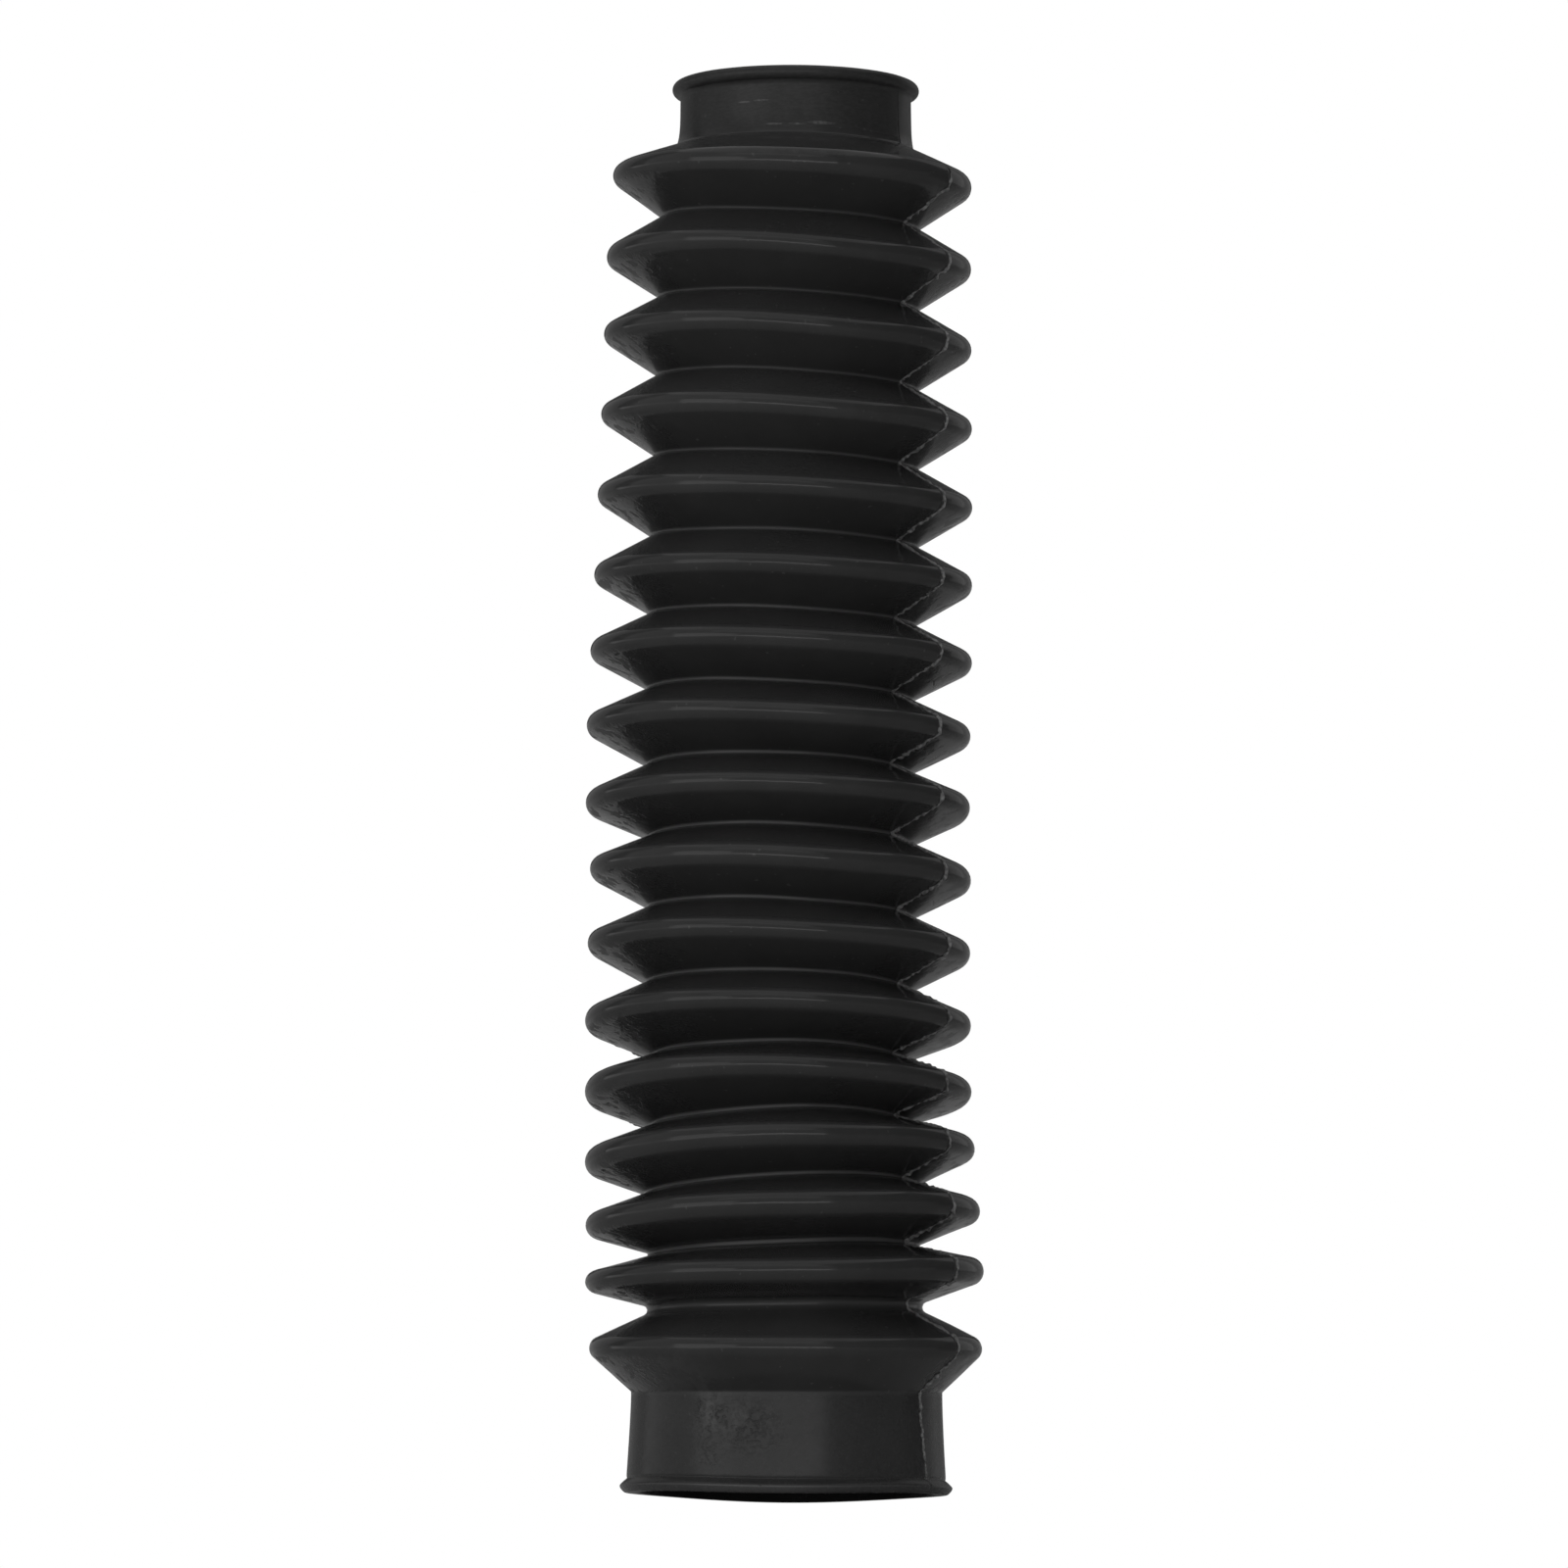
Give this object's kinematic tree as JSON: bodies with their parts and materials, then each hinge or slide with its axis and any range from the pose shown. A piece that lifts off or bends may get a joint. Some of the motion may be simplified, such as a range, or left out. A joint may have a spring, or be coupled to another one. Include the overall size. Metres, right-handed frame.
{
  "type": "shock absorber boot",
  "caption": "Black rubber bellows sleeve that covers a shock absorber's rod, with a narrow beaded collar at one end and a wide lipped collar at the other.",
  "frame": {"origin": "centre of the lower rim, on the common axis of both bores, at the level that the boot stands on", "axes": "+Z from the wide lower collar to the narrow upper collar; +X and +Y lie across it, and the boot is round about Z"},
  "size_m": [0.0804, 0.0804, 0.2874],
  "materials": {
    "boot_rubber": "satin moulded rubber"
  },
  "bodies": {
    "root": {"boot": "boot_rubber"}
  },
  "joints": []
}
